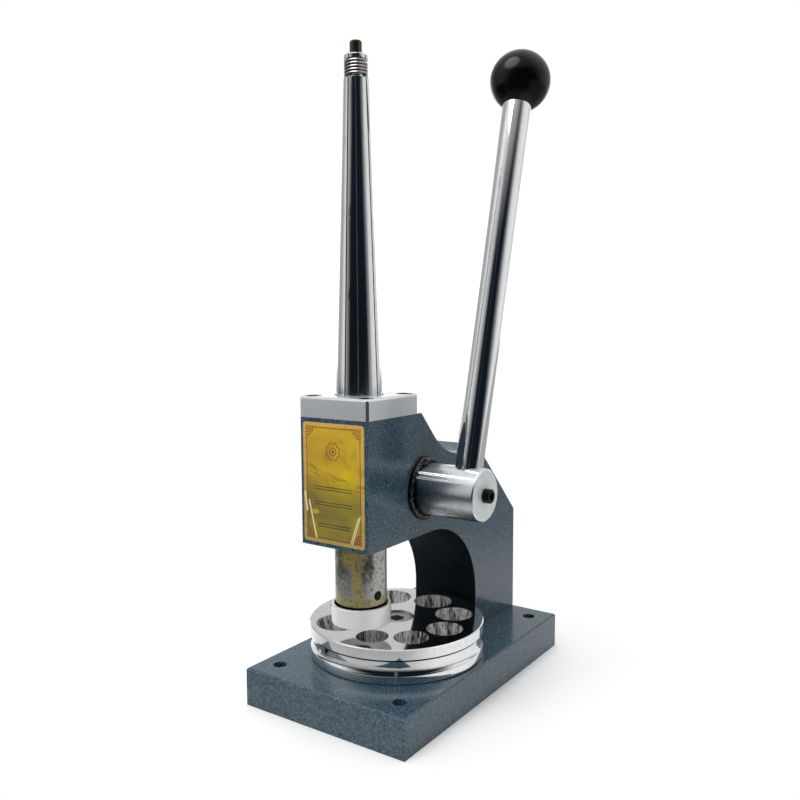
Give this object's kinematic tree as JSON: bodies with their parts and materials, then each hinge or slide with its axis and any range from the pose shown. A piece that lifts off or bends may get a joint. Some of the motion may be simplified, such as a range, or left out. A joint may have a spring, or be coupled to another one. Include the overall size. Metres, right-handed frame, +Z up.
{
  "type": "ring stretcher",
  "caption": "Bench ring stretcher with a split tapered mandrel on top, a side lever with a ball knob, and a presser ram over a turning wheel of tapered dies.",
  "frame": {"origin": "middle of the bench bolt pattern, on the underside of the base plate", "axes": "+X to the lever side, -Y to the front, where the label plate faces, +Z up"},
  "size_m": [0.117, 0.172, 0.3612],
  "materials": {
    "enamel": "hammertone enamel, satin, slightly dimpled",
    "dark_steel": "blackened and oiled",
    "black_steel": "black, greasy",
    "grey_steel": "flat grey, turned",
    "oiled_steel": "dark, oiled",
    "ground_steel": "ground bright",
    "bright_steel": "polished",
    "spring_steel": "drawn wire",
    "chrome": "mirror polished",
    "bronze": "turned bronze",
    "gold_foil": "gold foil with a thin red border",
    "black_plastic": "glossy black"
  },
  "bodies": {
    "frame": {"base_plate": "enamel", "frame_arm": "enamel", "column_screws": "dark_steel", "label_plate": "gold_foil", "mandrel_block": "ground_steel", "block_screws": "dark_steel", "shaft_bush_right": "black_steel", "shaft_bush_left": "bronze", "wheel_pivot_bolt": "grey_steel", "thrust_washer": "bronze", "index_ball": "bright_steel", "index_spring": "spring_steel", "index_screw": "dark_steel", "retaining_coil": "spring_steel"},
    "lever": {"pinion_shaft": "chrome", "shaft_washer": "dark_steel", "shaft_screw": "dark_steel", "lever_rod": "chrome", "ball_knob": "black_plastic", "lever_lock_screw": "dark_steel"},
    "ram": {"rack_ram": "ground_steel", "presser_collar": "bright_steel", "presser_screw": "dark_steel", "wedge_core": "oiled_steel", "core_lock_nut": "dark_steel"},
    "wheel": {"die_wheel": "chrome", "wheel_bush": "bronze"},
    "segment_1": {"mandrel_segment_1": "bright_steel"},
    "segment_2": {"mandrel_segment_2": "bright_steel"},
    "segment_3": {"mandrel_segment_3": "bright_steel"},
    "segment_4": {"mandrel_segment_4": "bright_steel"}
  },
  "joints": [
    {"name": "lever_turn", "type": "hinge", "parent": "frame", "child": "lever", "pos_m": [0, -0.02035, 0.1181], "axis": [1, 0, 0], "range_deg": [0, 25]},
    {"name": "ram_slide", "type": "slide", "parent": "frame", "child": "ram", "axis": [0, 0, 1], "range_m": [-0.0077, 0]},
    {"name": "wheel_turn", "type": "hinge", "parent": "frame", "child": "wheel", "pos_m": [0, -0.0173, 0.03], "axis": [0, 0, 1], "continuous": true},
    {"name": "segment_1_slide", "type": "slide", "parent": "frame", "child": "segment_1", "axis": [0.7071, 0.7071, 0], "range_m": [0, 0.00064], "deforming": ["retaining_coil"]},
    {"name": "segment_2_slide", "type": "slide", "parent": "frame", "child": "segment_2", "axis": [-0.7071, 0.7071, 0], "range_m": [0, 0.00064]},
    {"name": "segment_3_slide", "type": "slide", "parent": "frame", "child": "segment_3", "axis": [-0.7071, -0.7071, 0], "range_m": [0, 0.00064]},
    {"name": "segment_4_slide", "type": "slide", "parent": "frame", "child": "segment_4", "axis": [0.7071, -0.7071, 0], "range_m": [0, 0.00064]}
  ],
  "couplings": [
    {"joint": "ram_slide", "follows": "lever_turn", "m_per_rad": -0.0175},
    {"joint": "segment_1_slide", "follows": "lever_turn", "m_per_rad": 0.001458},
    {"joint": "segment_2_slide", "follows": "lever_turn", "m_per_rad": 0.001458},
    {"joint": "segment_3_slide", "follows": "lever_turn", "m_per_rad": 0.001458},
    {"joint": "segment_4_slide", "follows": "lever_turn", "m_per_rad": 0.001458}
  ]
}
